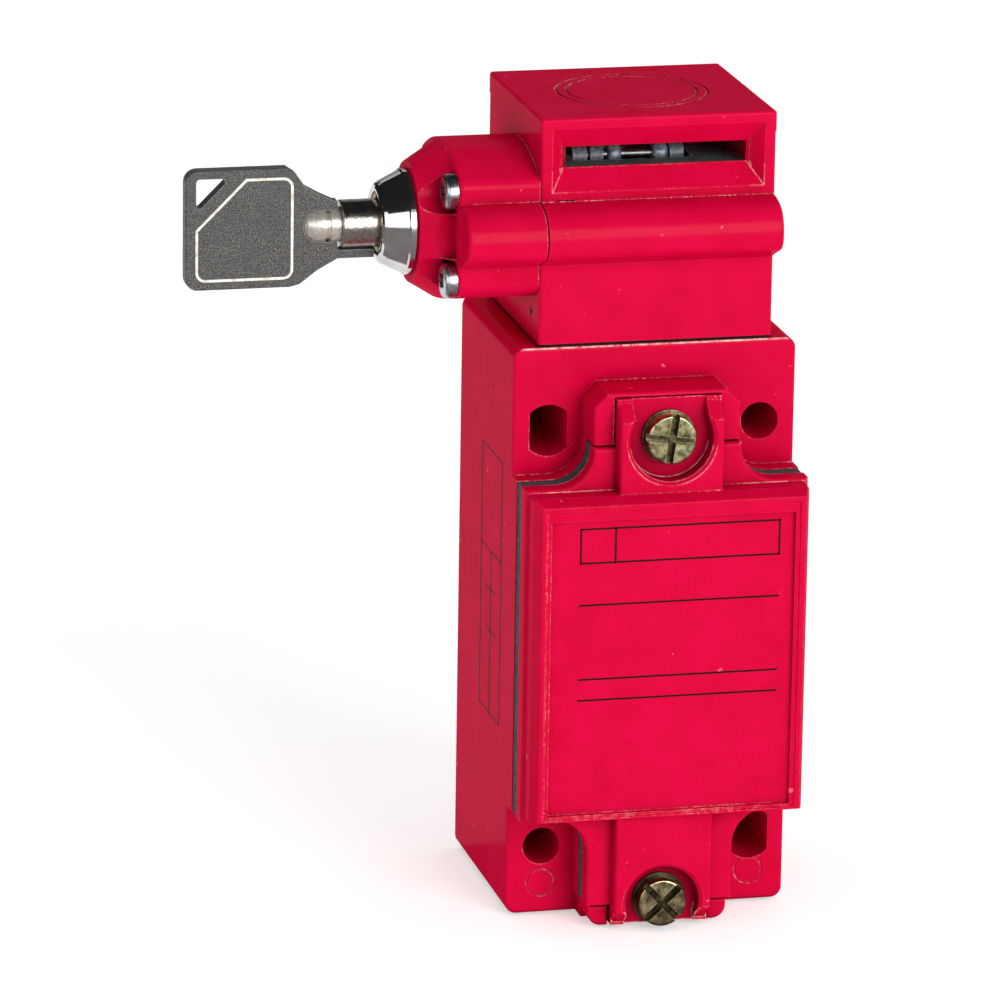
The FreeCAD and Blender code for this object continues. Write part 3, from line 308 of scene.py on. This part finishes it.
STEEL = metal("plain_steel", srgb(110, 112, 112), srgb(165, 166, 165), 0.28, 0.45, 1200.0, 0.1)
WHEEL = dull("wheel_steel", srgb(92, 98, 106), srgb(150, 156, 164), 0.5, 1500.0, 0.2, 0.5, srgb(225, 230, 235), 0.35)
ROLL = dull("roller_steel", srgb(104, 118, 130), srgb(176, 190, 200), 0.4, 1700.0, 0.2, 0.5, srgb(235, 240, 245), 0.35)
GUIDE = dull("guide_steel", srgb(62, 92, 92), srgb(124, 156, 152), 0.35, 1500.0, 0.12, 0.5, srgb(240, 252, 250), 0.3, 0.00045, 0.95)
CHROME = metal("chrome", srgb(196, 194, 194), srgb(222, 220, 220), 0.05, 0.10, 300.0, 0.012)
NICKEL = metal("nickel", srgb(150, 144, 138), srgb(214, 208, 200), 0.14, 0.28, 2600.0, 0.3)
TIP = metal("key_tip_steel", srgb(202, 198, 188), srgb(236, 232, 220), 0.26, 0.40, 2200.0, 0.15, 0.72, edge=srgb(255, 250, 230))
BOW = bow_steel("key_bow_steel")
BRASS = metal("brass", srgb(168, 132, 66), srgb(205, 172, 100), 0.25, 0.42, 900.0, 0.08)
BLACK = dull("black_plastic", srgb(24, 24, 25), srgb(38, 38, 40), 0.5, 400.0)
GREY = dull("grey_plastic", srgb(48, 50, 52), srgb(66, 68, 70), 0.45, 400.0)
NATURAL = dull("natural_plastic", srgb(196, 190, 172), srgb(216, 212, 198), 0.45, 300.0, 0.06)
INK = dull("printing_ink", srgb(20, 14, 14), srgb(44, 12, 18), 0.6, 2600.0, 0.1, 0.1)

LOOKS = {
    "case": RED, "cover": RED_D, "head_body": RED_B, "head_cover": RED_B, "lock_housing": RED_C,
    "cover_gasket": GASKET, "head_gasket": GASKET2, "plunger_seal": SEAL,
    "cover_screws": ZINC_Y, "cover_screw_washers": ZINC_Y, "lock_housing_screws": ZINC,
    "cam_wheel": WHEEL, "driver_pins": STEEL, "driver_rollers": ROLL, "guide_plate": GUIDE, "wheel_bushes": BRASS,
    "lock_bezel": CHROME, "key_shank": NICKEL, "key_spindle": TIP, "key_bow": BOW,
    "lock_rotor": BRASS, "lock_barrel": BRASS, "lock_barrel_nut": BRASS, "fixed_contacts": BRASS, "contact_bridges": BRASS,
    "contact_block_base": BLACK, "contact_block_cover": GREY, "contact_carrier": NATURAL, "plunger": NATURAL,
    # the head pin is near black as painted shade, where the head shows a dark hole
    "terminal_clamps": ZINC, "terminal_screws": ZINC, "head_pin": BLACK,
}

for name, o in NODES.items():
    o.data.materials.clear()
    o.data.materials.append(LOOKS.get(name, STEEL))
    for p in o.data.polygons:
        p.use_smooth = True
    try:
        o.data.set_sharp_from_angle(angle=math.radians(28))
    except Exception:
        pass


# ---------------------------------------------------------------------------
# thin printed rules: a plain frame and plain lines where the label field and the side carry print
# ---------------------------------------------------------------------------
def print_lines(name, quads, mat):
    """Thin printed strips: each quad is four points in millimetres."""
    me = bpy.data.meshes.new(name)
    vs, fs = [], []
    for q in quads:
        k = len(vs)
        vs += [Vector(p) * MM for p in q]
        fs.append((k, k + 1, k + 2, k + 3))
    me.from_pydata(vs, [], fs)
    me.materials.append(mat)
    o = bpy.data.objects.new(name, me)
    scene.collection.objects.link(o)
    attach(o, "housing")
    return o


LABEL_Y = -43.05 - 0.02


def bar(x0, x1, z0, z1):
    return [(x0, LABEL_Y, z0), (x1, LABEL_Y, z0), (x1, LABEL_Y, z1), (x0, LABEL_Y, z1)]


FX0, FX1, FZ0, FZ1, LW = -13.1, 15.2, 14.0, 19.1, 0.26
rules = [bar(FX0, FX1, FZ1 - LW, FZ1), bar(FX0, FX1, FZ0, FZ0 + LW), bar(FX0, FX0 + LW, FZ0, FZ1), bar(FX1 - LW, FX1, FZ0, FZ1),
         bar(FX0 + 4.9, FX0 + 4.9 + LW, FZ0, FZ1)]
for z in (8.15, -2.45, -5.45):
    rules.append(bar(FX0, FX1, z - LW / 2, z + LW / 2))
print_lines("label_rules", rules, INK)


# plain thin frame with cross lines on the left side
SX = -20.02


def side(y0, y1, z0, z1):
    return [(SX, y0, z0), (SX, y1, z0), (SX, y1, z1), (SX, y0, z1)]


W2 = 0.2
W3 = 0.45
print_lines("side_rules", [side(-26.0, -26.0 + W3, -14.0, 24.0), side(-14.0, -14.0 + W3, -14.0, 24.0), side(-26.0, -13.6, 24.0, 24.0 + W2),
                           side(-26.0, -13.6, -14.0, -14.0 + W2), side(-26.0, -13.6, 9.5, 9.5 + W2), side(-20.0, -20.0 + W3, -14.0, 9.5),
                           side(-23.0, -17.0, -2.0, -2.0 + W2), side(-23.0, -17.0, 4.0, 4.0 + W2)], INK)


# ---------------------------------------------------------------------------
# camera at the photograph's viewing angle
# ---------------------------------------------------------------------------
AZ, EL, ROLL, DIST, FPX = 13.490, 15.693, 0.877, 1.0, 7189.23
TX, TZ = -0.0189, 0.0171
az, el, roll = (math.radians(v) for v in (AZ, EL, ROLL))
fw = Vector((math.sin(az) * math.cos(el), math.cos(az) * math.cos(el), -math.sin(el)))
r0 = fw.cross(Vector((0, 0, 1))).normalized()
u0 = r0.cross(fw)
rv = math.cos(roll) * r0 + math.sin(roll) * u0
uv = -math.sin(roll) * r0 + math.cos(roll) * u0
cam_data = bpy.data.cameras.new("camera")
cam = bpy.data.objects.new("camera", cam_data)
scene.collection.objects.link(cam)
cam_data.sensor_width = 36.0
cam_data.lens = 36.0 * FPX / 1000.0
cam_data.clip_start, cam_data.clip_end = 0.05, 20.0
cam.location = Vector((TX, -0.02, TZ)) - fw * DIST
cam.rotation_mode = "QUATERNION"
cam.rotation_quaternion = Matrix((rv, uv, -fw)).transposed().to_quaternion()
scene.camera = cam


# ---------------------------------------------------------------------------
# stage: pale plain floor, soft studio light
# ---------------------------------------------------------------------------
def stage_mat(name, col, col2, glow=0.0, rough=0.9):
    m = Mat(name)
    n = m.noise(3.0, 2.0, 0.5)
    m.link(m.mix(n, col, col2), m.bsdf.inputs["Base Color"])
    m.set(Roughness=rough, Specular_IOR_Level=0.0)
    if glow:
        m.set(Emission_Color=(1.0, 1.0, 1.0, 1.0), Emission_Strength=glow)
    return m.m


def quad(name, pts, mat, glossy_only=False, shadow=True):
    me = bpy.data.meshes.new(name)
    me.from_pydata([Vector(p) for p in pts], [], [tuple(range(len(pts)))])
    me.materials.append(mat)
    o = bpy.data.objects.new(name, me)
    scene.collection.objects.link(o)
    if glossy_only:
        o.visible_camera = o.visible_diffuse = o.visible_transmission = o.visible_shadow = False
    return o


FLOOR = stage_mat("floor_paint", (0.78, 0.78, 0.78), (0.82, 0.82, 0.82), 0.48)
quad("floor", [(-12, -12, -0.0402), (12, -12, -0.0402), (12, 12, -0.0402), (-12, 12, -0.0402)], FLOOR)

# white backdrop all round, seen by the camera only
WHITE = stage_mat("backdrop_white", (0.9,) * 3, (0.92,) * 3, 1.0)
N_SIDES, R_BACK = 48, 4.5
ring = [(R_BACK * math.cos(2 * math.pi * k / N_SIDES), R_BACK * math.sin(2 * math.pi * k / N_SIDES)) for k in range(N_SIDES)]
verts = [(x, y, z) for z in (-0.3, 4.0) for x, y in ring]
faces = [(k, (k + 1) % N_SIDES, N_SIDES + (k + 1) % N_SIDES, N_SIDES + k) for k in range(N_SIDES)] + [tuple(range(N_SIDES, 2 * N_SIDES))]
bme = bpy.data.meshes.new("backdrop")
bme.from_pydata(verts, [], faces)
bme.materials.append(WHITE)
backdrop = bpy.data.objects.new("backdrop", bme)
scene.collection.objects.link(backdrop)
backdrop.visible_diffuse = backdrop.visible_glossy = backdrop.visible_transmission = backdrop.visible_shadow = False

# flags seen only in reflections: a dark ceiling, a grey table and a bright side panel give the bright metal its bands
DARK = stage_mat("flag_black", (0.015,) * 3, (0.02,) * 3)
MID = stage_mat("flag_grey", (0.30, 0.28, 0.28), (0.34, 0.32, 0.32))
PANEL = stage_mat("flag_white", (0.8,) * 3, (0.85,) * 3, 1.1)
quad("flag_top", [(-0.9, -0.75, 0.62), (0.9, -0.75, 0.62), (0.9, 0.9, 0.62), (-0.9, 0.9, 0.62)], DARK, True)
quad("flag_table", [(-1.2, -1.2, -0.0400), (1.2, -1.2, -0.0400), (1.2, 0.0, -0.0400), (-1.2, 0.0, -0.0400)], MID, True)
quad("flag_side", [(-1.25, -0.55, 0.02), (-0.35, -1.25, 0.02), (-0.35, -1.25, 0.75), (-1.25, -0.55, 0.75)], PANEL, True)

quad("flag_rear", [(-1.3, -0.1, -0.04), (-0.2, 1.2, -0.04), (-0.2, 1.2, 0.6), (-1.3, -0.1, 0.6)], DARK, True)
quad("flag_back", [(-0.2, 1.2, -0.04), (1.0, 1.2, -0.04), (1.0, 1.2, 0.6), (-0.2, 1.2, 0.6)], MID, True)

# dark plugs just behind the four fixing holes, never seen themselves
PLUG = stage_mat("plug_dark", (0.01,) * 3, (0.02,) * 3)
for i, (px, pz) in enumerate(((15, 30), (-15, 30), (15, -30), (-15, -30))):
    r = 4.2
    ring = [((px + r * math.cos(a)) * MM, 0.0006, (pz + r * math.sin(a)) * MM) for a in (2 * math.pi * k / 16 for k in range(16))]
    plug = quad("plug_%d" % i, ring, PLUG)
    plug.visible_camera = False

world = bpy.data.worlds.new("studio")
scene.world = world
world.use_nodes = True
bg = world.node_tree.nodes["Background"]
bg.inputs[0].default_value = (1.0, 1.0, 1.0, 1.0)
bg.inputs[1].default_value = 0.62


def area(name, loc, target, size, power, size_y=None, color=(1, 1, 1)):
    d = bpy.data.lights.new(name, "AREA")
    d.energy = power
    d.size = size
    d.color = color
    if size_y:
        d.shape = "RECTANGLE"
        d.size_y = size_y
    o = bpy.data.objects.new(name, d)
    o.location = loc
    o.rotation_mode = "QUATERNION"
    o.rotation_quaternion = (Vector(target) - Vector(loc)).to_track_quat("-Z", "Y")
    scene.collection.objects.link(o)
    return o


area("key_light", (0.36, -1.0, 0.33), (0, -0.03, 0.02), 0.6, 7.6)

scene.view_settings.view_transform = "Standard"
scene.view_settings.look = "None"
scene.view_settings.exposure = 0.0
